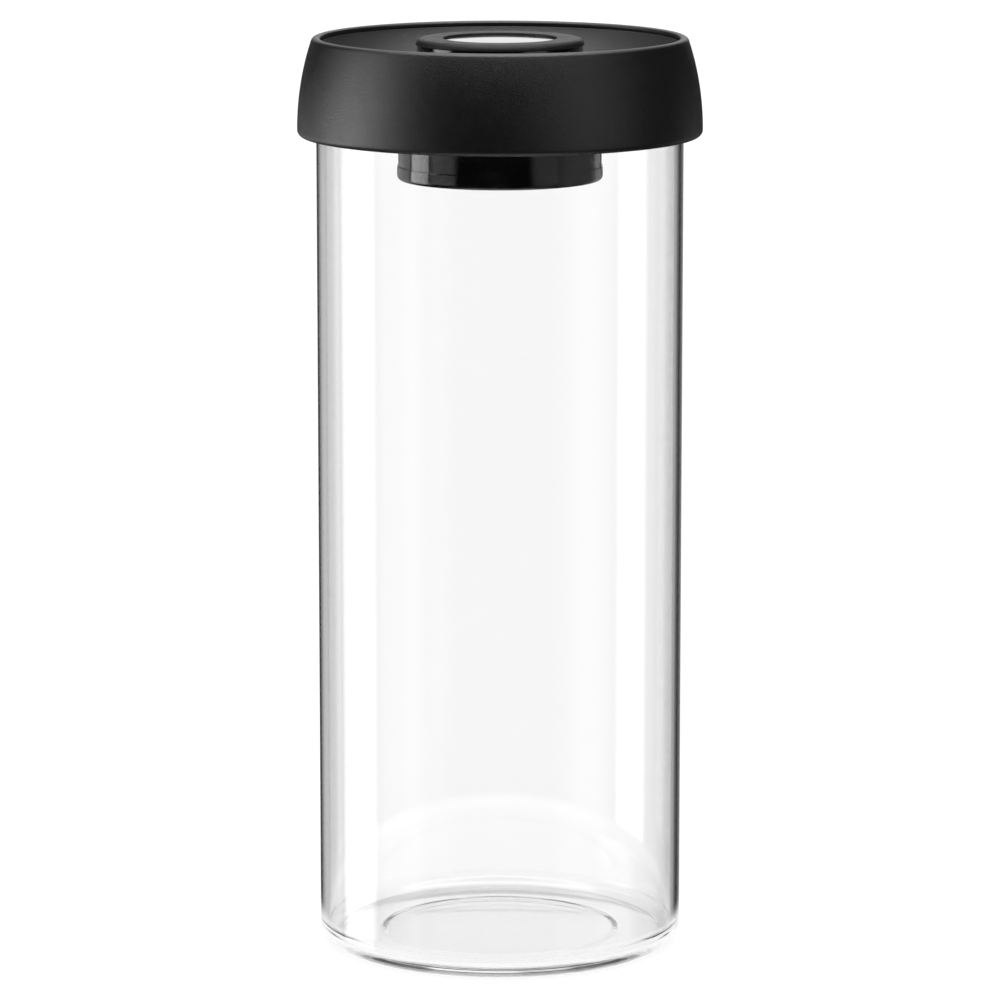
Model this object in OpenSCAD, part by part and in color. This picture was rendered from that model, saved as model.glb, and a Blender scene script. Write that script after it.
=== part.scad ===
// Tall glass storage jar with a push-button vacuum lid. Millimetres, +Z up, origin at the centre of the foot.

/* [Jar] */
// Outside diameter of the glass tube
jar_d = 100; // [96:1:104]
// Thickness of the glass wall
jar_wall = 2.3; // [2:0.1:2.4]
// Height of the fire-polished rim above the foot
jar_h = 232; // [180:1:300]
// Radius of the outside corner between wall and foot
foot_corner = 5; // [4:0.5:6]
// Inside radius of the ring that the jar stands on
foot_inner_r = 33; // [30:1:36]
// How far the middle of the foot is pushed up
push_up = 1.2; // [0.9:0.1:1.6]

/* [Lid] */
// Largest diameter of the lid, at the bottom of the skirt
lid_d = 110.4; // [108:0.2:116]
// Height of the lid from the edge of the skirt to the crest
lid_h = 26.7; // [26:0.1:28]
// Radius of the bulge of the skirt
side_r = 77; // [70:1:90]
// Wall thickness of the skirt
skirt_wall = 2.3; // [2.1:0.1:2.4]
// Radius at which the floor of the dish turns up into its bowl
dish_flat_r = 30; // [28:0.5:31]

/* [Pump] */
// Diameter of the drum that hangs inside the jar
drum_d = 55.4; // [55:0.1:56]
// Diameter of the soft ring on the button
button_d = 45.8; // [45:0.1:46.2]
// Diameter of the metal disc in the button
disc_d = 30.3; // [29:0.1:30.4]
// Stroke of the button
stroke = 9; // [6:0.5:9]
// Travel of the disc, which lets air back in
release_travel = 3; // [2:0.5:3]
// Number of vent holes in the outer row of the drum's cap
vents = 18; // [12:1:20]

/* [Hidden] */
$fn = 160;
eps = 0.01;
run = 0.3;          // running gap between moving mouldings
slide_fit = 0.1;    // gap round a guided rod and a seal

// jar
jar_r = jar_d / 2;
bore_r = jar_r - jar_wall;
floor_z = 3;                             // inside floor where it meets the corner
floor_crown = 0.5;                       // rise of the inside floor to its middle
inner_corner = 4.5;                      // inside rounding between wall and floor
foot_step = 0.6;                         // height of the sloped step inside the standing ring
foot_ramp = 1.8;                         // width of that step
arc_fn = 4096;                           // sides of the very large circles whose tops shape the floor

// lid heights, upwards
gasket_z = jar_h + 0.1;                  // underside of the gasket's flange
liner_z = gasket_z + 1.1;                // underside of the liner's flange
web_z = liner_z + 1.8;                   // underside of the cover's web
web_t = 2;
dish_z = web_z + web_t;                  // underside of the dish
dish_t = 1.6;
skirt_z = jar_h - 7.6;                   // bottom edge of the skirt
crest_z = skirt_z + lid_h;
skirt_round = skirt_wall - 0.7;          // outside rounding of the bottom edge
edge_round = 0.5;                        // inside rounding of the bottom edge
crest_round = 1.4;                       // outside rounding of the crest
inner_round = 0.6;                       // inside rounding of the crest
bulge_z = skirt_z + skirt_round;         // height of the lid's largest radius
lid_r = lid_d / 2;
bulge_x = lid_r - side_r;                // centre of the skirt's bulge
crest_reach = side_r - crest_round;      // from the bulge's centre to the crest's outside rounding
crest_lean = asin((crest_z - crest_round - bulge_z) / crest_reach);
lip_z = crest_z - 1.4;                   // top edge of the dish
lip_r = bulge_x + sqrt(pow(side_r - skirt_wall, 2) - pow(lip_z - bulge_z, 2)) - run;
dish_top = dish_z + dish_t;
// bowl of the dish, an arc that starts level at its flat floor
bowl_w = lip_r - dish_flat_r;
bowl_h = lip_z - dish_top;
bowl_r = (pow(bowl_w, 2) + pow(bowl_h, 2)) / (2 * bowl_h);

// liner and gasket
plug_r = bore_r - 0.8;
plug_wall = 3.3;
plug_z = jar_h - 6.6;
band_z = plug_z + 1.4;                   // bottom of the gasket's band
band_r = plug_r - 2;                     // inside of the gasket's band
fin_r = bore_r - 0.25;
liner_r = 52;
screw_ring_r = 41;
screw_count = 6;
boss_r = 2.8;
cover_hole_r = 1.5;
pilot_r = 1.25;

// pump, all heights from the bottom of the drum upwards
drum_r = drum_d / 2;
cyl_bore_r = drum_r - 2;
cap_r = drum_r + 0.3;
cap_z = jar_h - 19.6;
cap_floor = 1.4;
cap_h = 3.9;
filter_z = cap_z + cap_floor;
filter_t = 0.8;
valve_floor_z = cap_z + 6.8;
valve_floor_t = 2;
valve_top = valve_floor_z + valve_floor_t;
flap_t = 0.6;
flap_r = 11.5;
collar_r = 5.4;
collar_lip = 0.9;                        // how far the collar's lip holds the flap
stem_hole_r = 3.4;
boss_top = valve_top + 2.4;
inlet_count = 8;
inlet_ring_r = 8.5;
inlet_hole_r = 1.2;
vent_hole_r = 1.1;
cap_edge = 1.2;                          // wall of the cap's rim and rounding of its bottom edge
cyl_flange_r = drum_r + 3.9;
cyl_flange_t = 1.8;
cyl_seat_z = web_z - cyl_flange_t;
o_ring_r = drum_r + 2.1;
o_ring_t = 0.78;                         // radius of the O-ring's section
o_ring_drop = 0.8;                       // from the seat down to the middle of the O-ring

// plunger and button
button_top = crest_z - 0.3;
neck_r = button_d / 2 - 0.2;
neck_wall = 2;
piston_r = cyl_bore_r - run;
piston_top = web_z - 0.3;
piston_z = valve_top + stroke + 0.8;     // leaves 0.8 over the inlet flap with the button down
seal_groove = 1.8;
deck_z = button_top - 9;                 // floor inside the button
deck_t = 2;
deck_top = deck_z + deck_t;
button_r = button_d / 2;
button_round = 1.8;
button_z = button_top - button_round;    // parting line between the soft ring and the gloss neck
button_screw_r = 17.6;
button_screw_count = 3;
neck_in_r = neck_r - neck_wall;

// disc, rod and release valve
disc_r = disc_d / 2;
disc_hole_r = disc_r + 0.25;
disc_crown_r = 160;                      // radius of the disc's domed top
disc_edge_z = button_top - 0.6;
disc_t = 0.75;                           // thickness of the disc at its edge
disc_z = disc_edge_z - disc_t;
carrier_t = 1.2;
carrier_z = disc_z - carrier_t;
rod_r = 2.9;
rod_boss_r = 6;
rod_boss_z = deck_z - 2.6;
land_r = 3.7;                            // bore that the rod's O-ring seals in
rod_ring_z = deck_z - 1.2;
rod_ring_t = 0.75;
clip_t = 0.5;
clip_z = rod_boss_z - clip_t - 0.1;
head_z = valve_floor_z - 1.8;
head_t = 1.2;
head_r = 5.2;
stem_r = 1.5;
stem_top = boss_top + 3.7;
stem_clip_z = stem_top - 1;
stem_clip_t = 0.6;
stem_push = 1.3;                         // how far the rod pushes the poppet open
rod_z = stem_top + stroke + release_travel - stem_push;

// A ring or disc from z0 to z1; r_in of 0 gives a disc.
module ring(r_out, r_in, z0, z1)
    translate([0, 0, z0]) difference() {
        cylinder(r = r_out, h = z1 - z0);
        if (r_in > 0) translate([0, 0, -eps]) cylinder(r = r_in, h = z1 - z0 + 2 * eps);
    }

// Copies of a child, evenly round the axis at radius r.
module around(count, r, start = 0)
    for (i = [0 : count - 1]) rotate([0, 0, start + i * 360 / count]) translate([r, 0, 0]) children();

// A rectangle in the profile plane, by its radii and heights.
module band(r0, r1, z0, z1) translate([r0, z0]) square([r1 - r0, z1 - z0]);

module disc2d(r, x, z, fn = 96) translate([x, z]) circle(r = r, $fn = fn);

// Round-wire coil spring between heights z0 and z1, with closed ends lying flat.
module coil(r, wire_d, z0, z1, turns, steps = 30, sides = 8) {
    wire = wire_d / 2;
    dead = 0.75;                             // closed turns at each end, which rise by half a wire a turn
    rise = z1 - z0 - wire_d - 2 * dead * wire;
    count = round(turns * steps);
    height = function (n) n < dead ? n * wire
        : n > turns - dead ? rise + (n - turns + 2 * dead) * wire
        : dead * wire + rise * (n - dead) / (turns - 2 * dead);
    points = [for (i = [0 : count], s = [0 : sides - 1])
        let (n = turns * i / count, a = n * 360, t = s * 360 / sides, reach = r + wire * cos(t))
        [reach * cos(a), reach * sin(a), z0 + wire + height(n) + wire * sin(t)]];
    first_end = [for (s = [0 : sides - 1]) s];
    last_end = [for (s = [sides - 1 : -1 : 0]) count * sides + s];
    skin = [for (i = [0 : count - 1], s = [0 : sides - 1])
        let (a = i * sides + s, b = i * sides + (s + 1) % sides)
        each [[a + sides, b, a], [a + sides, b + sides, b]]];
    polyhedron(points = points, faces = concat([first_end], skin, [last_end]));
}

// ---- jar ----

module jar_outside() {
    band(0, jar_r, foot_corner, jar_h - jar_wall / 2);
    band(0, jar_r - foot_corner, 0, foot_corner);
    disc2d(foot_corner, jar_r - foot_corner, foot_corner);
    disc2d(jar_wall / 2, jar_r - jar_wall / 2, jar_h - jar_wall / 2);
}

module jar_inside() {
    corner_x = bore_r - inner_corner;
    crown_r = (pow(corner_x, 2) + pow(floor_crown, 2)) / (2 * floor_crown);
    difference() {
        union() {
            band(0, bore_r, floor_z + inner_corner, jar_h - jar_wall / 2);
            band(0, corner_x, floor_z, floor_z + inner_corner);
            disc2d(inner_corner, corner_x, floor_z + inner_corner);
            band(0, bore_r + jar_wall / 2, jar_h - jar_wall / 2, jar_h + 1);
        }
        intersection() {
            disc2d(crown_r, 0, floor_z + floor_crown - crown_r, arc_fn);
            band(0, corner_x, 0, floor_z + floor_crown + 1);
        }
        disc2d(jar_wall / 2, jar_r - jar_wall / 2, jar_h - jar_wall / 2);
    }
}

module glass_jar() {
    dome_edge_r = foot_inner_r - foot_ramp;
    dome_h = push_up - foot_step;
    dome_r = (pow(dome_edge_r, 2) + pow(dome_h, 2)) / (2 * dome_h);
    color("lightcyan", 0.35) rotate_extrude() difference() {
        intersection() {
            jar_outside();
            band(0, jar_r + 1, 0, jar_h + 1);
        }
        jar_inside();
        intersection() {
            disc2d(dome_r, 0, push_up - dome_r, arc_fn);
            band(0, dome_edge_r, 0, push_up + 1);
        }
        polygon([[0, -1], [foot_inner_r, -1], [foot_inner_r, 0], [dome_edge_r, foot_step], [0, foot_step]]);
    }
}

// ---- lid ----

module bulge(inset) disc2d(side_r - inset, bulge_x, bulge_z, 256);

module cover_profile() {
    edge_y = crest_round - inner_round;
    edge_reach = side_r - skirt_wall + inner_round;      // from the bulge's centre to the inside rounding
    edge_x = sqrt(pow(edge_reach, 2) - pow(edge_y, 2));
    tangent_y = edge_y * (side_r - skirt_wall) / edge_reach;
    // skirt, cut square to its wall at the crest and rounded on both corners
    difference() {
        intersection() {
            bulge(0);
            band(0, lid_r, bulge_z, crest_z + 1);
        }
        bulge(skirt_wall);
        translate([bulge_x, bulge_z]) rotate(crest_lean) {
            band(0, side_r + 1, crest_round, side_r);
            difference() {
                band(crest_reach, side_r + 1, 0, crest_round + eps);
                disc2d(crest_round, crest_reach, 0, 128);
            }
            difference() {
                band(edge_x - 2 * inner_round, edge_x, tangent_y, crest_round + eps);
                disc2d(inner_round, edge_x, edge_y, 64);
            }
        }
    }
    // bottom edge
    band(lid_r - skirt_wall, lid_r - skirt_round, skirt_z + edge_round, bulge_z);
    band(lid_r - skirt_wall + edge_round, lid_r - skirt_round, skirt_z, bulge_z);
    disc2d(edge_round, lid_r - skirt_wall + edge_round, skirt_z + edge_round, 48);
    intersection() {
        disc2d(skirt_round, lid_r - skirt_round, bulge_z);
        band(lid_r - skirt_round, lid_r, skirt_z, bulge_z);
    }
    // web
    intersection() {
        bulge(skirt_wall / 2);
        band(neck_r + 0.35, lid_r, web_z, web_z + web_t);
    }
}

module lid_cover() color("#2b2b2d") difference() {
    rotate_extrude() cover_profile();
    translate([0, 0, web_z - 1]) around(screw_count, screw_ring_r)
        cylinder(r = cover_hole_r, h = web_t + 2, $fn = 32);
}

module top_dish() color("#303033") rotate_extrude() {
    centre_z = dish_top + bowl_r;
    band(button_r + 0.5, dish_flat_r, dish_z, dish_top);
    intersection() {
        difference() {
            disc2d(bowl_r + dish_t, dish_flat_r, centre_z, 256);
            disc2d(bowl_r, dish_flat_r, centre_z, 256);
        }
        band(dish_flat_r, lip_r, dish_z, lip_z);
    }
}

module liner_profile() {
    hub_r = cyl_flange_r + 2.4;
    groove_half = o_ring_t + 0.07;
    difference() {
        union() {
            band(drum_r + 0.2, hub_r, cyl_seat_z - 3, web_z);
            band(hub_r, liner_r, liner_z, web_z);
            band(plug_r - plug_wall, band_r, plug_z, liner_z);
            band(plug_r - plug_wall, plug_r, plug_z, band_z);
        }
        band(drum_r, cyl_flange_r + 0.2, cyl_seat_z, web_z + 1);
        translate([o_ring_r - groove_half, cyl_seat_z - o_ring_drop - groove_half])
            square([2 * groove_half, groove_half + o_ring_drop + 1]);
    }
}

module inner_liner() color("#38383b") difference() {
    union() {
        rotate_extrude() liner_profile();
        translate([0, 0, plug_z + 2]) around(screw_count, screw_ring_r)
            cylinder(r = boss_r, h = web_z - plug_z - 2, $fn = 48);
    }
    translate([0, 0, plug_z + 3]) around(screw_count, screw_ring_r)
        cylinder(r = pilot_r, h = web_z, $fn = 32);
}

module jar_gasket() color("#5a5c60") rotate_extrude() {
    band(band_r, plug_r, band_z, liner_z);
    band(band_r, jar_r + 0.4, gasket_z, liner_z);
    for (z = [band_z + 1.4, band_z + 3.6])
        polygon([[plug_r - 0.1, z - 0.6], [fin_r, z + 0.3], [fin_r, z + 0.7], [plug_r - 0.1, z + 0.6]]);
}

// Pan-head screw standing on z = 0 with its shank downwards.
module screw(head_r, head_h, shank_r, length) difference() {
    union() {
        cylinder(r = head_r, h = head_h, $fn = 40);
        translate([0, 0, -length]) cylinder(r = shank_r, h = length + eps, $fn = 32);
        translate([0, 0, -length - shank_r]) cylinder(r1 = 0.2, r2 = shank_r, h = shank_r, $fn = 32);
    }
    for (a = [0, 90]) rotate([0, 0, a])
        translate([-head_r * 0.6, -0.25, head_h * 0.4]) cube([head_r * 1.2, 0.5, head_h]);
}

module lid_screws() color("silver")
    translate([0, 0, dish_z]) around(screw_count, screw_ring_r) screw(2.3, 1.4, 1.2, 7.2);

// ---- pump cylinder ----

module pump_cylinder() color("#111113") difference() {
    union() {
        ring(drum_r, cyl_bore_r, cap_z + cap_h, web_z);
        ring(cyl_flange_r, cyl_bore_r, cyl_seat_z, web_z);
        ring(cap_r - cap_edge - 0.05, cyl_bore_r - 1, filter_z + filter_t, cap_z + cap_h + eps);
        ring(cyl_bore_r + 0.5, cyl_bore_r - 1, cap_z + cap_h, valve_floor_z + eps);
        ring(cyl_bore_r + 0.5, stem_hole_r, valve_floor_z, valve_top);
        ring(collar_r, stem_hole_r, valve_top - eps, boss_top);
        ring(collar_r + collar_lip, collar_r - eps, valve_top + flap_t + 0.1, valve_top + flap_t + 0.9);
    }
    translate([0, 0, valve_floor_z - 1]) around(inlet_count, inlet_ring_r)
        cylinder(r = inlet_hole_r, h = valve_floor_t + 2, $fn = 32);
}

module cylinder_o_ring() color("#3c3e42")
    translate([0, 0, cyl_seat_z - o_ring_drop]) rotate_extrude() disc2d(o_ring_t, o_ring_r, 0, 48);

module cylinder_cap() color("#111113") difference() {
    rotate_extrude() difference() {
        union() {
            band(0, cap_r - cap_edge, cap_z, cap_z + cap_floor);
            band(cap_r - cap_edge, cap_r, cap_z + cap_edge, cap_z + cap_h);
            disc2d(cap_edge, cap_r - cap_edge, cap_z + cap_edge, 64);
        }
        band(0, cap_r - cap_edge, cap_z + cap_floor, cap_z + cap_h + 1);
    }
    for (row = [[6, 7], [12, 13.5], [vents, 20]])
        translate([0, 0, cap_z - 1]) around(row[0], row[1])
            cylinder(r = vent_hole_r, h = cap_floor + 2, $fn = 24);
}

module inlet_filter() color("white") ring(cap_r - cap_edge - 0.2, 0, filter_z, filter_z + filter_t);

module inlet_flap_valve() color("#8a8d92") ring(flap_r, collar_r + 0.05, valve_top, valve_top + flap_t);

module return_spring() color("silver") coil(13.3, 1.3, valve_top, deck_z, 6.5);

// ---- plunger and button ----

module plunger() color("#111113") difference() {
    union() {
        ring(neck_r, neck_in_r, piston_z, button_z);
        ring(piston_r, neck_in_r, piston_z, piston_top);
        ring(neck_in_r + eps, rod_r + slide_fit, deck_z, deck_top);
        ring(rod_boss_r, rod_r + slide_fit, rod_boss_z, deck_z + eps);
    }
    ring(piston_r + 1, piston_r - seal_groove, piston_z + 0.9, piston_top - 0.8);
    translate([0, 0, rod_ring_z - 0.8]) cylinder(r = land_r, h = 1.6);
    translate([0, 0, rod_boss_z - eps]) cylinder(r = land_r + 0.3, h = 0.7);
    translate([0, 0, deck_z - 1]) around(button_screw_count, button_screw_r)
        cylinder(r = 1.3, h = deck_t + 2, $fn = 32);
}

module piston_seal() color("#5a5c60") rotate_extrude() polygon([
    [piston_r - seal_groove, piston_z + 0.95], [piston_r - 0.1, piston_z + 0.95],
    [cyl_bore_r - slide_fit, piston_top - 1.4], [cyl_bore_r - slide_fit, piston_top - 0.9],
    [piston_r - 0.7, piston_top - 1.9], [piston_r - 1, piston_top - 0.9],
    [piston_r - seal_groove, piston_top - 0.9]]);

module button_ring() color("#2b2b2d") difference() {
    rotate_extrude() {
        band(disc_hole_r, button_r - button_round, button_z, button_top);
        intersection() {
            disc2d(button_round, button_r - button_round, button_z);
            band(disc_hole_r, button_r, button_z, button_top);
        }
        band(disc_hole_r, neck_in_r - slide_fit, deck_top, button_z + eps);
    }
    translate([0, 0, deck_top - 1]) around(button_screw_count, button_screw_r)
        cylinder(r = 1.05, h = 5, $fn = 32);
}

module button_screws() color("silver")
    translate([0, 0, deck_z]) around(button_screw_count, button_screw_r)
        rotate([180, 0, 0]) screw(2, 1.3, 1, 4.6);

// ---- disc, rod and release valve ----

module metal_disc() color("gainsboro") rotate_extrude() intersection() {
    crown = sqrt(pow(disc_crown_r, 2) - pow(disc_r, 2));
    band(0, disc_r, disc_z, button_top + 1);
    disc2d(disc_crown_r, 0, disc_edge_z - crown, 256);
}

module release_rod() color("#38383b") difference() {
    union() {
        ring(disc_r - 0.5, 0, carrier_z, disc_z);
        ring(4, 0, carrier_z - 1, carrier_z + eps);
        ring(rod_r, 0, rod_z, carrier_z);
    }
    ring(rod_r + 1, rod_r - rod_ring_t, rod_ring_z - 0.8, rod_ring_z + 0.8);
    ring(rod_r + 1, rod_r - 0.6, clip_z, clip_z + clip_t);
}

module rod_o_ring() color("#3c3e42")
    translate([0, 0, rod_ring_z]) rotate_extrude() disc2d(rod_ring_t - 0.02, rod_r, 0, 32);

module rod_clip() color("silver") difference() {
    ring(4.6, rod_r - 0.58, clip_z + 0.02, clip_z + clip_t - 0.02);
    translate([0, -1.6, clip_z - 1]) cube([6, 3.2, 3]);
}

module release_spring() color("silver") coil(5.4, 0.5, deck_top, carrier_z, 3, 24);

module valve_poppet() color("#38383b") {
    ring(head_r, 0, head_z, head_z + head_t);
    ring(stem_r, 0, head_z + head_t - eps, stem_top);
    for (a = [0, 90]) rotate([0, 0, a])
        translate([-stem_hole_r + 0.15, -0.5, head_z + head_t - eps])
            cube([2 * stem_hole_r - 0.3, 1, boss_top - head_z - head_t - 0.4]);
}

module poppet_seal() color("#5a5c60")
    ring(head_r - 0.1, stem_hole_r + 0.05, head_z + head_t, valve_floor_z - 0.05);

module stem_clip() color("silver") ring(4.9, stem_r, stem_clip_z, stem_clip_z + stem_clip_t);

module poppet_spring() color("silver") coil(4.3, 0.4, boss_top, stem_clip_z, 2.75, 24);

glass_jar();
lid_cover();
top_dish();
inner_liner();
jar_gasket();
lid_screws();
pump_cylinder();
cylinder_o_ring();
cylinder_cap();
inlet_filter();
inlet_flap_valve();
return_spring();
plunger();
button_ring();
piston_seal();
button_screws();
metal_disc();
release_rod();
rod_o_ring();
rod_clip();
release_spring();
valve_poppet();
poppet_seal();
stem_clip();
poppet_spring();
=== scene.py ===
"""Visual model of a tall glass storage jar with a press-to-pump lid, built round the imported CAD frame."""

import math

import bmesh
import bpy
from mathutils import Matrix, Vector


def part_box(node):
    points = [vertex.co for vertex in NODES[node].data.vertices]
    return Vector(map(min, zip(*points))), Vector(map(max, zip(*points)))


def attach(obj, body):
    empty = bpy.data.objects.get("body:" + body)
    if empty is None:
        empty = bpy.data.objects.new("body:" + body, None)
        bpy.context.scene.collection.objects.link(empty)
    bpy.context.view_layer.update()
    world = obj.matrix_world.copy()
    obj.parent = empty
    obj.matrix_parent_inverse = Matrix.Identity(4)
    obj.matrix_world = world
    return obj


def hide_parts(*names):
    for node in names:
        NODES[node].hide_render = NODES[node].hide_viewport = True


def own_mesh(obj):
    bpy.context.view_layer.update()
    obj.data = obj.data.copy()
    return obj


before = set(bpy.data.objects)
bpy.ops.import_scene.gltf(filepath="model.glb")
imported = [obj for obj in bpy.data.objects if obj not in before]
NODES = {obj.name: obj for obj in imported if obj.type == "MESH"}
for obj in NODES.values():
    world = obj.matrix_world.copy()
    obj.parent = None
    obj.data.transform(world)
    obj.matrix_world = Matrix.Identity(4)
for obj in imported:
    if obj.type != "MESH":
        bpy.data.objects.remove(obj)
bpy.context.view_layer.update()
MM = 0.001


# ---------------------------------------------------------------- sizes in mm
def low(node):
    """The lowest corner of a CAD node at rest, in mm."""
    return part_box(node)[0] * 1000


def high(node):
    """The highest corner of a CAD node at rest, in mm."""
    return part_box(node)[1] * 1000


JAR_R = high("glass_jar").x
JAR_TOP = high("glass_jar").z
WALL = 2.3
BORE_R = JAR_R - WALL

# In section the skirt's outside is an arc of radius SIDE_R, widest just above its lower edge.
LID_R = high("lid_cover").x
SKIRT_Z = low("lid_cover").z
CREST_Z = high("lid_cover").z
SKIRT_WALL = 2.3
SKIRT_EDGE_ROUND = 1.6
SIDE_R = 77.0
BULGE_Z = SKIRT_Z + SKIRT_EDGE_ROUND
BULGE_X = LID_R - SIDE_R

# The cover's web lies on the liner and carries the dish.
COVER_WEB = 2
WEB_Z = high("inner_liner").z
DISH_Z = WEB_Z + COVER_WEB

BUTTON_R = high("button_ring").x
BUTTON_TOP = high("button_ring").z
BUTTON_ROUND = 1.8
BUTTON_Z = BUTTON_TOP - BUTTON_ROUND
NECK_R = BUTTON_R - 0.2
DISC_R = high("metal_disc").x

CAP_R = high("cylinder_cap").x
CAP_Z = low("cylinder_cap").z
CAP_TOP = high("cylinder_cap").z
DRUM_R = CAP_R - 0.3

# ---------------------------------------------------------------- turned pieces
# Flats round a turned piece: most pieces, the cover and dish, and the jar.
SEGMENTS = 256
LID_SEGMENTS = 320
JAR_SEGMENTS = 384
ON_AXIS = 1e-6
# A fillet uses at most this share of a side, and is drawn in steps of this many degrees.
FILLET_SHARE = 0.48
FILLET_STEP = 14
# A side longer than LONG_SIDE gets a point this far in from each end.
LONG_SIDE = 1.7
INSET = 0.12


def arc(cx, cz, radius, start, end, steps):
    """Points of an arc in the profile plane, from start to end degrees, with no fillets."""
    turns = [math.radians(start + (end - start) * i / steps) for i in range(steps + 1)]
    return [(cx + radius * math.cos(turn), cz + radius * math.sin(turn), 0) for turn in turns]


def rounded(corners, closed):
    """The outline through corners (r, z, fillet radius), with each fillet drawn as a short arc."""
    out = []
    count = len(corners)
    for i, (r, z, fillet) in enumerate(corners):
        if fillet <= 0 or (not closed and i in (0, count - 1)):
            out.append((r, z))
            continue
        here = Vector((r, z))
        back = Vector(corners[i - 1][:2]) - here
        ahead = Vector(corners[(i + 1) % count][:2]) - here
        half = back.angle(ahead) / 2
        reach = min(fillet / math.tan(half), FILLET_SHARE * back.length, FILLET_SHARE * ahead.length)
        radius = reach * math.tan(half)
        back.normalize()
        ahead.normalize()
        centre = here + (back + ahead).normalized() * (radius / math.sin(half))
        first = here + back * reach - centre
        last = here + ahead * reach - centre
        sweep = first.angle_signed(last)
        steps = max(3, math.ceil(abs(sweep) / math.radians(FILLET_STEP)))
        for k in range(steps + 1):
            turn = -sweep * k / steps
            c, s = math.cos(turn), math.sin(turn)
            out.append((centre.x + first.x * c - first.y * s, centre.y + first.x * s + first.y * c))
    return out


def neighbours(items, closed):
    """Each item with the next, and the last with the first where the outline is closed."""
    return list(zip(items, items[1:] + items[:1])) if closed else list(zip(items, items[1:]))


def supported(points, closed):
    """Adds a point near each end of every long side, so that smooth shading stays flat along it."""
    out = []
    for (r0, z0), (r1, z1) in neighbours(points, closed):
        out.append((r0, z0))
        length = math.hypot(r1 - r0, z1 - z0)
        if length > LONG_SIDE:
            for share in (INSET / length, 1 - INSET / length):
                out.append((r0 + (r1 - r0) * share, z0 + (z1 - z0) * share))
    if not closed:
        out.append(points[-1])
    return out


def make_piece(name, verts, faces, material, body, replaced):
    """A smooth piece with its faces turned outward, riding on a body in place of its CAD nodes."""
    mesh = bpy.data.meshes.new(name)
    mesh.from_pydata(verts, [], faces)
    work = bmesh.new()
    work.from_mesh(mesh)
    bmesh.ops.recalc_face_normals(work, faces=work.faces)
    work.to_mesh(mesh)
    work.free()
    mesh.shade_smooth()
    mesh.materials.append(material)
    piece = bpy.data.objects.new(name, mesh)
    bpy.context.scene.collection.objects.link(piece)
    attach(piece, body)
    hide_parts(*replaced)
    return piece


def lathe(name, corners, material, body, replaced, closed=True, segments=SEGMENTS):
    """A piece turned about the Z axis from an outline in mm."""
    points = supported(rounded(corners, closed), closed)
    verts, rings = [], []
    for r, z in points:
        if r < ON_AXIS:
            rings.append([len(verts)])
            verts.append((0, 0, z * MM))
            continue
        rings.append(list(range(len(verts), len(verts) + segments)))
        for k in range(segments):
            turn = 2 * math.pi * k / segments
            verts.append((r * math.cos(turn) * MM, r * math.sin(turn) * MM, z * MM))
    faces = []
    for a, b in neighbours(rings, closed):
        for k in range(segments):
            j = (k + 1) % segments
            if len(a) == 1:
                faces.append((a[0], b[k], b[j]))
            elif len(b) == 1:
                faces.append((a[k], a[j], b[0]))
            else:
                faces.append((a[k], a[j], b[j], b[k]))
    return make_piece(name, verts, faces, material, body, replaced)


def drill(piece, holes, low_z, high_z):
    """Cuts round holes, given as (x, y, radius) in mm, through a piece."""
    hole_sides = 32
    sharp_angle = 32
    cutter_mesh = bpy.data.meshes.new(piece.name + "_cutter")
    work = bmesh.new()
    for x, y, radius in holes:
        made = bmesh.ops.create_cone(work, cap_ends=True, segments=hole_sides, radius1=radius * MM,
                                     radius2=radius * MM, depth=(high_z - low_z) * MM)
        bmesh.ops.translate(work, verts=made["verts"], vec=(x * MM, y * MM, (low_z + high_z) / 2 * MM))
    work.to_mesh(cutter_mesh)
    work.free()
    cutter = bpy.data.objects.new(piece.name + "_cutter", cutter_mesh)
    bpy.context.scene.collection.objects.link(cutter)
    cut = piece.modifiers.new("drill", "BOOLEAN")
    cut.object = cutter
    cut.operation = "DIFFERENCE"
    cut.solver = "EXACT"
    bpy.context.view_layer.update()
    done = bpy.data.meshes.new_from_object(piece.evaluated_get(bpy.context.evaluated_depsgraph_get()))
    piece.modifiers.clear()
    piece.data = done
    done.shade_smooth()
    done.set_sharp_from_angle(angle=math.radians(sharp_angle))
    bpy.data.objects.remove(cutter)


def round_about(count, radius, hole):
    """Holes of radius hole, spaced evenly round a circle."""
    turns = [math.radians(360 * k / count) for k in range(count)]
    return [(radius * math.cos(turn), radius * math.sin(turn), hole) for turn in turns]


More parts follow.
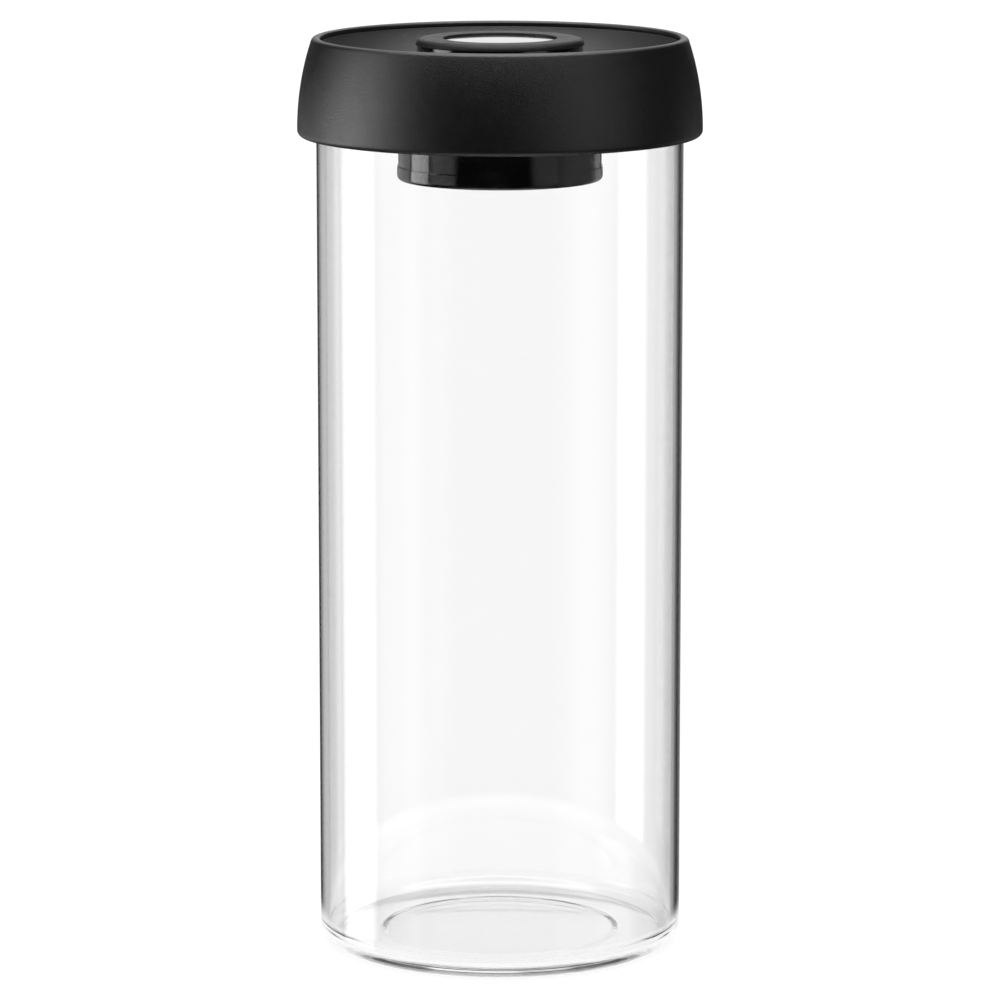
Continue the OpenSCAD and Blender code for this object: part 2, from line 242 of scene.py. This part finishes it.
# ---------------------------------------------------------------- materials
class Tree:
    """A node tree and short ways to add to it. A value is a number or the socket that it comes from."""

    def __init__(self, tree):
        self.tree = tree
        tree.nodes.clear()

    def node(self, kind, **settings):
        made = self.tree.nodes.new(kind)
        for key, value in settings.items():
            setattr(made, key, value)
        return made

    def link(self, source, target):
        self.tree.links.new(source, target)

    def put(self, socket, value):
        if isinstance(value, bpy.types.NodeSocket):
            self.link(value, socket)
        else:
            socket.default_value = value

    def maths(self, operation, a, b=None):
        made = self.node("ShaderNodeMath", operation=operation)
        self.put(made.inputs[0], a)
        if b is not None:
            self.put(made.inputs[1], b)
        return made.outputs[0]

    def ramp(self, value, lo, hi, to_lo=0.0, to_hi=1.0, kind="SMOOTHSTEP"):
        """The value's range lo to hi made into the range to_lo to to_hi, and clamped there."""
        made = self.node("ShaderNodeMapRange", interpolation_type=kind)
        self.put(made.inputs["Value"], value)
        for key, number in (("From Min", lo), ("From Max", hi), ("To Min", to_lo), ("To Max", to_hi)):
            made.inputs[key].default_value = number
        return made.outputs["Result"]

    def spread(self, noise, lo, hi):
        """A noise's usual range made into the range lo to hi."""
        return self.ramp(noise, 0.3, 0.7, lo, hi, "LINEAR")

    def noise(self, vector, scale, detail=2.0, roughness=0.5):
        made = self.node("ShaderNodeTexNoise")
        self.put(made.inputs["Vector"], vector)
        made.inputs["Scale"].default_value = scale
        made.inputs["Detail"].default_value = detail
        made.inputs["Roughness"].default_value = roughness
        return made.outputs["Fac"]

    def between(self, share, a, b):
        """A colour that share moves from a to b."""
        made = self.node("ShaderNodeMix", data_type="RGBA")
        self.put(made.inputs["Factor"], share)
        made.inputs["A"].default_value = (*a, 1)
        made.inputs["B"].default_value = (*b, 1)
        return made.outputs["Result"]

    def stretched(self, vector, scale):
        made = self.node("ShaderNodeMapping")
        self.put(made.inputs["Vector"], vector)
        made.inputs["Scale"].default_value = scale
        return made.outputs["Vector"]

    def bump(self, height, distance, over=None):
        """A bumped normal, distance in metres, on top of the bump over where there is one."""
        made = self.node("ShaderNodeBump")
        made.inputs["Strength"].default_value = 1.0
        made.inputs["Distance"].default_value = distance
        self.put(made.inputs["Height"], height)
        if over is not None:
            self.link(over, made.inputs["Normal"])
        return made.outputs["Normal"]


def new_material(name, metallic=0.0, **plain):
    """A Principled material, with plain giving the sockets that are the same all over the surface."""
    made = bpy.data.materials.new(name)
    made.use_nodes = True
    tree = Tree(made.node_tree)
    shader = tree.node("ShaderNodeBsdfPrincipled")
    output = tree.node("ShaderNodeOutputMaterial")
    tree.link(shader.outputs["BSDF"], output.inputs["Surface"])
    shader.inputs["Metallic"].default_value = metallic
    for key, value in plain.items():
        shader.inputs[key.replace("_", " ")].default_value = value
    place = tree.node("ShaderNodeTexCoord").outputs["Object"]
    return made, tree, shader, place


def plastic(name, dark, light, rough, rough_spread, grain_scale, grain_depth,
            wave_depth=0.0, sparkle=0.0, **plain):
    """Moulded plastic or rubber: mottled colour, uneven shine, moulded grain and a slow waviness."""
    made, tree, shader, place = new_material(name, **plain)
    mottle = tree.noise(place, scale=90, detail=4, roughness=0.6)
    tree.link(tree.between(mottle, dark, light), shader.inputs["Base Color"])
    grain = tree.noise(place, grain_scale, detail=3, roughness=0.6)
    patches = tree.noise(place, scale=260, detail=3)
    shine = tree.spread(patches, rough - rough_spread, rough + rough_spread)
    if sparkle:
        speckle = tree.ramp(grain, 0.35, 0.65, -sparkle, sparkle, "LINEAR")
        shine = tree.maths("ADD", shine, speckle)
    tree.link(shine, shader.inputs["Roughness"])
    waves = None
    if wave_depth:
        waves = tree.bump(tree.noise(place, scale=45, detail=1), wave_depth)
    tree.link(tree.bump(grain, grain_depth, over=waves), shader.inputs["Normal"])
    return made


def glass_material():
    """Borosilicate tube: clear, with faint drawing lines along its length."""
    made, tree, shader, place = new_material("borosilicate_glass", Transmission_Weight=1.0, IOR=1.473)
    shader.inputs["Base Color"].default_value = (0.99, 0.99, 0.99, 1)
    lines = tree.noise(tree.stretched(place, (1, 1, 0.02)), scale=240)
    tree.link(tree.ramp(lines, 0.35, 0.75, 0.0, 0.012, "LINEAR"), shader.inputs["Roughness"])
    tree.link(tree.bump(lines, 0.0000012), shader.inputs["Normal"])
    return made


def disc_material():
    """Polished steel with very fine turned rings."""
    made, tree, shader, place = new_material("polished_steel", metallic=1.0)
    split = tree.node("ShaderNodeSeparateXYZ")
    tree.link(place, split.inputs[0])
    squares = [tree.maths("POWER", split.outputs[axis], 2.0) for axis in (0, 1)]
    radius = tree.maths("SQRT", tree.maths("ADD", *squares))
    rings = tree.node("ShaderNodeTexNoise", noise_dimensions="1D")
    tree.link(radius, rings.inputs["W"])
    rings.inputs["Scale"].default_value = 9000
    rings.inputs["Detail"].default_value = 2
    stains = tree.noise(place, scale=120, detail=3)
    tree.link(tree.between(stains, (0.62, 0.62, 0.625), (0.7, 0.7, 0.705)), shader.inputs["Base Color"])
    tree.link(tree.spread(rings.outputs["Fac"], 0.05, 0.1), shader.inputs["Roughness"])
    tree.link(tree.bump(rings.outputs["Fac"], 0.0000006), shader.inputs["Normal"])
    return made


def steel_material():
    """Bright steel for the wire, screws and clips."""
    made, tree, shader, place = new_material("bright_steel", metallic=1.0)
    stains = tree.noise(place, scale=400, detail=3)
    patches = tree.noise(place, scale=900, detail=3)
    tree.link(tree.between(stains, (0.5, 0.5, 0.51), (0.66, 0.66, 0.67)), shader.inputs["Base Color"])
    tree.link(tree.spread(patches, 0.2, 0.34), shader.inputs["Roughness"])
    tree.link(tree.bump(tree.noise(place, scale=2500), 0.000003), shader.inputs["Normal"])
    return made


def felt_material():
    """Thin pressed felt."""
    made, tree, shader, place = new_material("filter_felt", Sheen_Weight=0.4)
    fibres = tree.noise(place, scale=1800, detail=6, roughness=0.75)
    tree.link(tree.between(fibres, (0.66, 0.66, 0.64), (0.88, 0.88, 0.86)), shader.inputs["Base Color"])
    tree.link(tree.spread(fibres, 0.8, 1.0), shader.inputs["Roughness"])
    tree.link(tree.bump(fibres, 0.0002), shader.inputs["Normal"])
    return made


matte_black = plastic("matte_black_plastic", (0.004, 0.004, 0.0042), (0.007, 0.007, 0.0073),
                      rough=0.37, rough_spread=0.03, grain_scale=3300, grain_depth=0.0001,
                      sparkle=0.03, Specular_IOR_Level=1.0)
# The dish is the cover's black plastic; its lighter base colour is painted light, standing in for the
# overhead light that falls into the bowl.
dish_black_painted_light = plastic("dish_plastic_painted_light", (0.032, 0.032, 0.0325), (0.044, 0.044, 0.0445),
                     rough=0.46, rough_spread=0.04, grain_scale=2600, grain_depth=0.00012,
                     sparkle=0.03, Specular_IOR_Level=0.65)
soft_touch = plastic("soft_touch_plastic", (0.012, 0.012, 0.0123), (0.018, 0.018, 0.0184),
                     rough=0.46, rough_spread=0.05, grain_scale=3600, grain_depth=0.0001,
                     Specular_IOR_Level=0.38)
liner_black = plastic("liner_plastic", (0.016, 0.016, 0.017), (0.026, 0.026, 0.027),
                      rough=0.42, rough_spread=0.06, grain_scale=2200, grain_depth=0.00003)
gloss_black = plastic("gloss_black_plastic", (0.003, 0.003, 0.0032), (0.005, 0.005, 0.0052),
                      rough=0.05, rough_spread=0.015, grain_scale=900, grain_depth=0.0000015,
                      wave_depth=0.000006, Specular_IOR_Level=0.9)
silicone = plastic("silicone_rubber", (0.05, 0.05, 0.053), (0.075, 0.075, 0.078),
                   rough=0.55, rough_spread=0.06, grain_scale=2600, grain_depth=0.00002)
nitrile = plastic("nitrile_rubber", (0.012, 0.012, 0.012), (0.02, 0.02, 0.02),
                  rough=0.5, rough_spread=0.06, grain_scale=2600, grain_depth=0.00002)
glass = glass_material()
polished_steel = disc_material()
steel = steel_material()
felt = felt_material()

# ---------------------------------------------------------------- glass jar
# The foot is a flat ring, then a short ramp up to a shallow dome. The floor inside is slightly crowned.
CORNER_R = 5
FOOT_R = 33.0
FOOT_RAMP = 1.8
FOOT_STEP = 0.6
FOOT_FILLET = 2.4
PUSH_UP = 1.2
FLOOR_Z = 3.0
FLOOR_CROWN = 0.5
FLOOR_CORNER_R = 4.5


def arc_radius(half_width, height):
    """The radius of an arc that rises by height at half_width from its middle."""
    return (half_width ** 2 + height ** 2) / (2 * height)


dome_edge = FOOT_R - FOOT_RAMP
dome_r = arc_radius(dome_edge, PUSH_UP - FOOT_STEP)
dome_turn = 90 - math.degrees(math.asin(dome_edge / dome_r))
floor_edge = BORE_R - FLOOR_CORNER_R
crown_r = arc_radius(floor_edge, FLOOR_CROWN)
crown_end = math.degrees(math.asin(floor_edge / crown_r))
jar_outline = (
    arc(0, PUSH_UP - dome_r, dome_r, 90, dome_turn, steps=24)[:-1]
    + [(dome_edge, FOOT_STEP, FOOT_FILLET), (FOOT_R, 0, FOOT_FILLET)]
    + arc(JAR_R - CORNER_R, CORNER_R, CORNER_R, -90, 0, steps=16)
    + arc(JAR_R - WALL / 2, JAR_TOP - WALL / 2, WALL / 2, 0, 180, steps=18)
    + arc(floor_edge, FLOOR_Z + FLOOR_CORNER_R, FLOOR_CORNER_R, 0, -90, steps=16)
    + arc(0, FLOOR_Z + FLOOR_CROWN - crown_r, crown_r, 90 - crown_end, 90, steps=44)[1:]
)
lathe("glass_jar_body", jar_outline, glass, "jar", ["glass_jar"], closed=False,
      segments=JAR_SEGMENTS)

# ---------------------------------------------------------------- lid cover
# The crest is the skirt's end cut square to its wall, with a larger rounding outside than inside.
CREST_ROUND = 1.4
INNER_ROUND = 0.6
SKIRT_INNER_ROUND = 0.5
inner_reach = SIDE_R - SKIRT_WALL


def inner_x(z):
    """The radius of the skirt's inside at a height."""
    return BULGE_X + math.sqrt(inner_reach ** 2 - (z - BULGE_Z) ** 2)


def bulge_angle(radius, z):
    """The degrees at which an arc about the bulge's centre is at a height."""
    return math.degrees(math.asin((z - BULGE_Z) / radius))


def on_bulge(reach, turn):
    """The point this far from the bulge's centre, at turn degrees."""
    return BULGE_X + reach * math.cos(math.radians(turn)), BULGE_Z + reach * math.sin(math.radians(turn))


crest_reach = SIDE_R - CREST_ROUND
crest_turn = bulge_angle(crest_reach, CREST_Z - CREST_ROUND)
edge_reach = inner_reach + INNER_ROUND
edge_turn = crest_turn + math.degrees(math.asin((CREST_ROUND - INNER_ROUND) / edge_reach))
web_hole_r = NECK_R + 0.35
cover_outline = (
    arc(LID_R - SKIRT_EDGE_ROUND, BULGE_Z, SKIRT_EDGE_ROUND, -90, 0, steps=10)
    + arc(BULGE_X, BULGE_Z, SIDE_R, 0, crest_turn, steps=26)[1:]
    + arc(*on_bulge(crest_reach, crest_turn), CREST_ROUND, crest_turn, crest_turn + 90, steps=12)[1:]
    + arc(*on_bulge(edge_reach, edge_turn), INNER_ROUND, crest_turn + 90, 180 + edge_turn, steps=8)
    + arc(BULGE_X, BULGE_Z, inner_reach, edge_turn, bulge_angle(inner_reach, DISH_Z + 0.3), steps=14)[1:]
    + [(inner_x(DISH_Z), DISH_Z, 0), (web_hole_r, DISH_Z, 0.3), (web_hole_r, WEB_Z, 0.3)]
    + [(inner_x(WEB_Z), WEB_Z, 0)]
    + arc(BULGE_X, BULGE_Z, inner_reach, bulge_angle(inner_reach, WEB_Z - 0.3), 0, steps=10)
    + arc(LID_R - SKIRT_WALL + SKIRT_INNER_ROUND, SKIRT_Z + SKIRT_INNER_ROUND, SKIRT_INNER_ROUND, 180, 270,
          steps=6)
)
lathe("lid_cover_shell", cover_outline, matte_black, "lid", ["lid_cover"],
      segments=LID_SEGMENTS)

# ---------------------------------------------------------------- dish
# A flat floor, and a bowl that curves up to a lip just inside the crest.
DISH_WALL = 1.6
FLAT_R = 30.0
LIP_DROP = 1.2
LIP_GAP = 0.3
LIP_TURN = 2.2
dish_top = DISH_Z + DISH_WALL
dish_hole_r = BUTTON_R + 0.5
lip_z = CREST_Z - LIP_DROP
lip_r = inner_x(lip_z) - LIP_GAP
bowl_w = lip_r - FLAT_R
bowl_r = arc_radius(bowl_w, lip_z - dish_top)
bowl_end = math.degrees(math.asin(bowl_w / bowl_r))
back_r = bowl_r + DISH_WALL
back_end = math.degrees(math.asin(bowl_w / back_r))
dish_outline = (
    [(dish_hole_r, DISH_Z, 0.2), (dish_hole_r, dish_top, 0.45)]
    + arc(FLAT_R, dish_top + bowl_r, bowl_r, -90, -90 + bowl_end - LIP_TURN, steps=34)
    + [(lip_r - 0.08, lip_z, 0.6), (lip_r, lip_z - 1.5, 0.4)]
    + arc(FLAT_R, dish_top + bowl_r, back_r, -90 + back_end, -90, steps=26)
)
lathe("lid_dish", dish_outline, dish_black_painted_light, "lid", ["top_dish"], segments=LID_SEGMENTS)

# ---------------------------------------------------------------- gasket
# A band in the jar's bore with two fins, and a flange over the rim.
GASKET_Z = low("jar_gasket").z
GASKET_TOP = high("jar_gasket").z
plug_r = BORE_R - 0.8
fin_r = BORE_R - 0.25
band_r = plug_r - 2
rim_flange_r = JAR_R + 0.4
rim_flange_z = JAR_TOP + 0.1


def fin(z):
    """One fin of the gasket, with its root at this height."""
    return [(plug_r, z, 0.15), (fin_r, z + 0.9, 0.15), (fin_r, z + 1.3, 0.15), (plug_r, z + 1.2, 0.1)]


gasket_outline = (
    [(band_r, GASKET_Z, 0.3), (plug_r, GASKET_Z, 0.4)]
    + fin(GASKET_Z + 0.8)
    + fin(GASKET_Z + 3.0)
    + [(plug_r, rim_flange_z, 0.3), (rim_flange_r, rim_flange_z, 0.35), (rim_flange_r, GASKET_TOP, 0.3)]
    + [(band_r, GASKET_TOP, 0.1)]
)
lathe("lid_gasket", gasket_outline, silicone, "lid", ["jar_gasket"])

# ---------------------------------------------------------------- pump drum
# The outline goes from the spigot in the cap up the wall to the flange, down the bore to the valve floor
# with its boss, and back.
CYL_BORE = DRUM_R - 2
drum_flange_r = DRUM_R + 3.9
drum_flange_z = WEB_Z - 1.8
spigot_r = CAP_R - 1.25
spigot_bore = CYL_BORE - 1
spigot_z = CAP_Z + 2.2
valve_z = CAP_Z + 6.8
valve_top = valve_z + 2
boss_r = 5.4
boss_bore = 3.4
boss_top = valve_top + 2.4
bead_r = 6.3
drum_outline = [
    (spigot_r, spigot_z, 0.15), (spigot_r, CAP_TOP, 0.1), (DRUM_R, CAP_TOP, 0.04),
    (DRUM_R, drum_flange_z, 0.3), (drum_flange_r, drum_flange_z, 0.25), (drum_flange_r, WEB_Z, 0.25),
    (CYL_BORE, WEB_Z, 0.4), (CYL_BORE, valve_top, 0.4),
    (boss_r, valve_top, 0.05), (boss_r, valve_top + 0.7, 0.05), (bead_r, valve_top + 0.7, 0.1),
    (bead_r, valve_top + 1.5, 0.2), (boss_r, valve_top + 1.5, 0.1), (boss_r, boss_top, 0.25),
    (boss_bore, boss_top, 0.25), (boss_bore, valve_z, 0.25),
    (spigot_bore, valve_z, 0.3), (spigot_bore, spigot_z, 0.15),
]
drum = lathe("pump_drum", drum_outline, gloss_black, "lid", ["pump_cylinder"])
drill(drum, round_about(count=8, radius=8.5, hole=1.2), valve_z - 1, valve_top + 1)

CAP_ROUND = 1.2
CAP_FLOOR = 1.4
cap_bore = CAP_R - 1.2
cap_outline = (
    [(0, CAP_Z, 0)]
    + arc(CAP_R - CAP_ROUND, CAP_Z + CAP_ROUND, CAP_ROUND, -90, 0, steps=10)
    + [(CAP_R, CAP_TOP, 0.1), (cap_bore, CAP_TOP, 0.04), (cap_bore, CAP_Z + CAP_FLOOR, 0.2)]
    + [(0, CAP_Z + CAP_FLOOR, 0)]
)
cap = lathe("pump_drum_cap", cap_outline, gloss_black, "lid", ["cylinder_cap"], closed=False)
vents = []
for count, radius in ((6, 7), (12, 13.5), (18, 20)):
    vents += round_about(count, radius, hole=1.1)
drill(cap, vents, CAP_Z - 1, CAP_Z + 2.5)

# ---------------------------------------------------------------- plunger, button ring and disc
# The plunger is a neck closed by a deck with a boss for the rod. It ends in a piston with a groove for its
# seal.
piston_z = low("plunger").z
piston_top = WEB_Z - 0.3
piston_r = CYL_BORE - 0.3
groove_r = piston_r - 1.8
neck_bore = NECK_R - 2
deck_z = BUTTON_TOP - 9
deck_top = deck_z + 2
rod_bore = 3.0
rod_boss_r = 6
rod_boss_z = deck_z - 2.6
rod_seat_r = 3.7
rod_mouth_r = 4.0
rod_mouth_z = deck_z - 2.0
plunger_outline = [
    (rod_bore, deck_top, 0.2), (neck_bore, deck_top, 0.3), (neck_bore, BUTTON_Z, 0.2),
    (NECK_R - 0.2, BUTTON_Z, 0.1), (NECK_R, BUTTON_Z - 1.6, 1.5), (NECK_R, piston_top, 0.3),
    (piston_r, piston_top, 0.2), (piston_r, piston_top - 0.8, 0.1), (groove_r, piston_top - 0.8, 0.1),
    (groove_r, piston_z + 0.9, 0.1), (piston_r, piston_z + 0.9, 0.1), (piston_r, piston_z, 0.25),
    (neck_bore, piston_z, 0.3), (neck_bore, deck_z, 0.4), (rod_boss_r, deck_z, 0.3),
    (rod_boss_r, rod_boss_z, 0.2), (rod_mouth_r, rod_boss_z, 0.1), (rod_mouth_r, rod_mouth_z, 0.05),
    (rod_seat_r, rod_mouth_z, 0.05), (rod_seat_r, deck_z - 0.4, 0.1), (rod_bore, deck_z - 0.4, 0.1),
]
lathe("button_plunger", plunger_outline, gloss_black, "button", ["plunger"])

disc_hole_r = DISC_R + 0.25
ring_skirt_r = NECK_R - 2.1
ring_outline = (
    [(disc_hole_r, deck_top, 0.2), (disc_hole_r, BUTTON_TOP, 0.3)]
    + arc(BUTTON_R - BUTTON_ROUND, BUTTON_Z, BUTTON_ROUND, 90, 0, steps=14)
    + [(ring_skirt_r, BUTTON_Z, 0.2), (ring_skirt_r, deck_top, 0.2)]
)
lathe("button_soft_ring", ring_outline, soft_touch, "button", ["button_ring"])

DISC_CROWN_R = 160.0
disc_low = low("metal_disc").z
disc_edge = disc_low + 0.75
disc_end = math.degrees(math.asin(DISC_R / DISC_CROWN_R))
crown_z = disc_edge - math.sqrt(DISC_CROWN_R ** 2 - DISC_R ** 2)
disc_outline = (
    [(0, disc_low, 0), (DISC_R, disc_low, 0.12), (DISC_R, disc_edge, 0.16)]
    + arc(0, crown_z, DISC_CROWN_R, 90 - disc_end * 0.98, 90, steps=30)
)
lathe("button_metal_disc", disc_outline, polished_steel, "release", ["metal_disc"],
      closed=False)

# ---------------------------------------------------------------- springs
WIRE_SIDES = 12
STEPS_PER_TURN = 40
CLOSED_TURNS = 0.75


def spring(name, node, body, wire, turns):
    """A round-wire coil with closed ends, as tall as its CAD node."""
    bottom = low(node).z
    height = high(node).z - bottom
    mean = high(node).x - wire / 2
    end_rise = CLOSED_TURNS * wire * 0.5
    rise = height - wire - 2 * end_rise
    count = round(turns * STEPS_PER_TURN)
    verts, faces = [], []
    for i in range(count + 1):
        turned = turns * i / count
        if turned < CLOSED_TURNS:
            z = turned * wire * 0.5
        elif turned > turns - CLOSED_TURNS:
            z = end_rise + rise + (turned - turns + CLOSED_TURNS) * wire * 0.5
        else:
            z = end_rise + rise * (turned - CLOSED_TURNS) / (turns - 2 * CLOSED_TURNS)
        around = 2 * math.pi * turned
        for side in range(WIRE_SIDES):
            a = 2 * math.pi * side / WIRE_SIDES
            r = mean + wire / 2 * math.cos(a)
            level = bottom + wire / 2 + z + wire / 2 * math.sin(a)
            verts.append((r * math.cos(around) * MM, r * math.sin(around) * MM, level * MM))
    for start in range(0, count * WIRE_SIDES, WIRE_SIDES):
        for side in range(WIRE_SIDES):
            a, b = start + side, start + (side + 1) % WIRE_SIDES
            faces.append((a, b, b + WIRE_SIDES, a + WIRE_SIDES))
    faces.append(tuple(range(WIRE_SIDES)))
    faces.append(tuple(count * WIRE_SIDES + side for side in range(WIRE_SIDES)))
    piece = make_piece(name, verts, faces, steel, body, [node])
    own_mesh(piece)


spring("pump_return_spring", "return_spring", "lid", wire=1.3, turns=6.5)
spring("disc_release_spring", "release_spring", "button", wire=0.5, turns=3)
spring("valve_poppet_spring", "poppet_spring", "lid", wire=0.4, turns=2.75)

# ---------------------------------------------------------------- carried-over CAD nodes
CARRIED = {
    liner_black: ["inner_liner", "release_rod", "valve_poppet"],
    steel: ["lid_screws", "button_screws", "rod_clip", "stem_clip"],
    silicone: ["inlet_flap_valve", "piston_seal", "poppet_seal"],
    nitrile: ["cylinder_o_ring", "rod_o_ring"],
    felt: ["inlet_filter"],
}
for material, names in CARRIED.items():
    for name in names:
        for material_slot in NODES[name].material_slots:
            material_slot.material = material

# ---------------------------------------------------------------- studio
# Soft boxes: azimuths from the camera's side (negative is left) and their soft edge, elevations from and to,
# each followed by its soft edge, and radiance.
SOFT_BOXES = [
    (-118, -88, 2, -30, 6, -5, 2, 3.6),
    (-104, -74, 5, -5, 2, 20, 20, 3.8),
    (-84, -52, 6, -30, 6, -5, 2, 0.7),
    (-161, -122, 2, -30, 6, -5, 2, 0.65),
    (38, 68, 6, -30, 6, -5, 2, 0.35),
    (34, 68, 6, -5, 2, 25, 20, 0.85),
    (68, 130, 6, -30, 6, -5, 2, 0.02),
    (135, 153, 3, -30, 6, -5, 2, 0.5),
    (171, 190, 8, -30, 6, -5, 2, 0.75),
    (-190, -178, 1.5, -30, 6, -5, 2, 0.75),
    (164, 176, 2, -1.5, 1, 24, 3, 1.25),
    (-176, -164, 2, -1.5, 1, 24, 3, 0.7),
    (176, 190, 2, 5, 1.5, 24, 3, 1.25),
    (-190, -176, 2, 5, 1.5, 24, 3, 1.25),
    (150, 190, 8, 24, 3, 60, 10, 1.0),
    (-190, -150, 8, 24, 3, 60, 10, 1.0),
]
# Degrees from overhead, negative towards the camera, then the light's outer and inner half angles, and its
# radiance.
TOP_LIGHT = (-3, 42, 30, 3.6)
# Light from below: full at the first elevation, none at the second, and its radiance.
TABLE_LIGHT = (-72, -52, 0.8)
AMBIENT = 0.01
WHITE = 1.12
STAGE_SIZE = 9
STAGE_GLOW = 0.91
STAGE_COLOUR = 0.15
# Reflections see the floor inside the first radius and the soft boxes outside the second, in metres.
LIT_SPOT = (0.055, 0.07)


def make_floor():
    """A white light table. Beyond the lit spot round the jar, reflections look past it at the soft boxes."""
    mesh = bpy.data.meshes.new("studio_floor")
    work = bmesh.new()
    bmesh.ops.create_grid(work, x_segments=8, y_segments=8, size=STAGE_SIZE)
    work.to_mesh(mesh)
    work.free()
    floor = bpy.data.objects.new("studio_floor", mesh)
    bpy.context.scene.collection.objects.link(floor)
    floor.visible_diffuse = False
    made = bpy.data.materials.new("pale_floor")
    made.use_nodes = True
    tree = Tree(made.node_tree)
    glow = tree.node("ShaderNodeEmission")
    glow.inputs["Strength"].default_value = STAGE_GLOW
    lit = tree.node("ShaderNodeBsdfDiffuse")
    lit.inputs["Color"].default_value = (STAGE_COLOUR, STAGE_COLOUR, STAGE_COLOUR, 1)
    pale = tree.node("ShaderNodeAddShader")
    tree.link(glow.outputs[0], pale.inputs[0])
    tree.link(lit.outputs[0], pale.inputs[1])
    reach = tree.node("ShaderNodeVectorMath", operation="LENGTH")
    tree.link(tree.node("ShaderNodeTexCoord").outputs["Object"], reach.inputs[0])
    outside = tree.ramp(reach.outputs["Value"], *LIT_SPOT)
    path = tree.node("ShaderNodeLightPath")
    mirrored = tree.maths("GREATER_THAN", path.outputs["Glossy Depth"], 0.5)
    mix = tree.node("ShaderNodeMixShader")
    tree.link(tree.maths("MULTIPLY", mirrored, outside), mix.inputs["Fac"])
    tree.link(pale.outputs[0], mix.inputs[1])
    tree.link(tree.node("ShaderNodeBsdfTransparent").outputs[0], mix.inputs[2])
    output = tree.node("ShaderNodeOutputMaterial")
    tree.link(mix.outputs[0], output.inputs["Surface"])
    made.cycles.emission_sampling = "NONE"
    mesh.materials.append(made)


def make_world():
    """White for what the camera sees, and soft boxes round the object for its reflections and light."""
    world = bpy.data.worlds.new("studio")
    bpy.context.scene.world = world
    world.use_nodes = True
    tree = Tree(world.node_tree)
    split = tree.node("ShaderNodeSeparateXYZ")
    tree.link(tree.node("ShaderNodeTexCoord").outputs["Generated"], split.inputs[0])
    x, y, z = split.outputs
    to_degrees = 180 / math.pi
    azimuth = tree.maths("ARCTAN2", x, tree.maths("MULTIPLY", y, -1.0))
    around = tree.maths("MULTIPLY", azimuth, to_degrees)
    height = tree.maths("MULTIPLY", tree.maths("ARCSINE", z), to_degrees)

    lights = []
    for left, right, soft, under, rise, over, fall, radiance in SOFT_BOXES:
        from_left = tree.ramp(around, left - soft, left + soft)
        to_right = tree.ramp(around, right - soft, right + soft, 1.0, 0.0)
        across = tree.maths("MULTIPLY", from_left, to_right)
        bottom = tree.ramp(height, under - rise, under + rise)
        top = tree.ramp(height, over - fall, over + fall, radiance, 0.0)
        lights.append(tree.maths("MULTIPLY", across, tree.maths("MULTIPLY", bottom, top)))
    lean, rim, core, radiance = TOP_LIGHT
    overhead = tree.maths("ADD", tree.maths("MULTIPLY", y, math.sin(math.radians(lean))),
                          tree.maths("MULTIPLY", z, math.cos(math.radians(lean))))
    rim_level, core_level = math.cos(math.radians(rim)), math.cos(math.radians(core))
    lights.append(tree.ramp(overhead, rim_level, core_level, 0.0, radiance))
    full, none, radiance = TABLE_LIGHT
    lights.append(tree.ramp(height, full, none, radiance, 0.0))
    total = AMBIENT
    for part in lights:
        total = tree.maths("ADD", part, total)
    path = tree.node("ShaderNodeLightPath")
    bounces = tree.maths("ADD", path.outputs["Glossy Depth"], path.outputs["Diffuse Depth"])
    seen = tree.node("ShaderNodeMix", data_type="FLOAT")
    tree.link(tree.maths("GREATER_THAN", bounces, 0.5), seen.inputs["Factor"])
    seen.inputs["A"].default_value = WHITE
    tree.link(total, seen.inputs["B"])
    shade = tree.node("ShaderNodeBackground")
    tree.link(seen.outputs["Result"], shade.inputs["Strength"])
    output = tree.node("ShaderNodeOutputWorld")
    tree.link(shade.outputs[0], output.inputs["Surface"])


make_floor()
make_world()

# ---------------------------------------------------------------- camera
CAMERA_PLACE = (0, -1.4191, 0.3785)
CAMERA_DOWN = 10.193
SENSOR_WIDTH = 36
LENS = 188.34
CLIP_END = 60
scene = bpy.context.scene
camera_data = bpy.data.cameras.new("camera")
camera_data.sensor_width = SENSOR_WIDTH
camera_data.lens = LENS
camera_data.clip_end = CLIP_END
camera_data.dof.use_dof = False
camera = bpy.data.objects.new("camera", camera_data)
camera.location = CAMERA_PLACE
camera.rotation_euler = (math.radians(90 - CAMERA_DOWN), 0, 0)
scene.collection.objects.link(camera)
scene.camera = camera
# Light runs round inside the glass foot by many reflections before it leaves.
scene.cycles.max_bounces = 24
scene.cycles.glossy_bounces = 20
scene.cycles.transmission_bounces = 20
scene.view_settings.view_transform = "Standard"
scene.view_settings.look = "None"

bpy.context.view_layer.update()
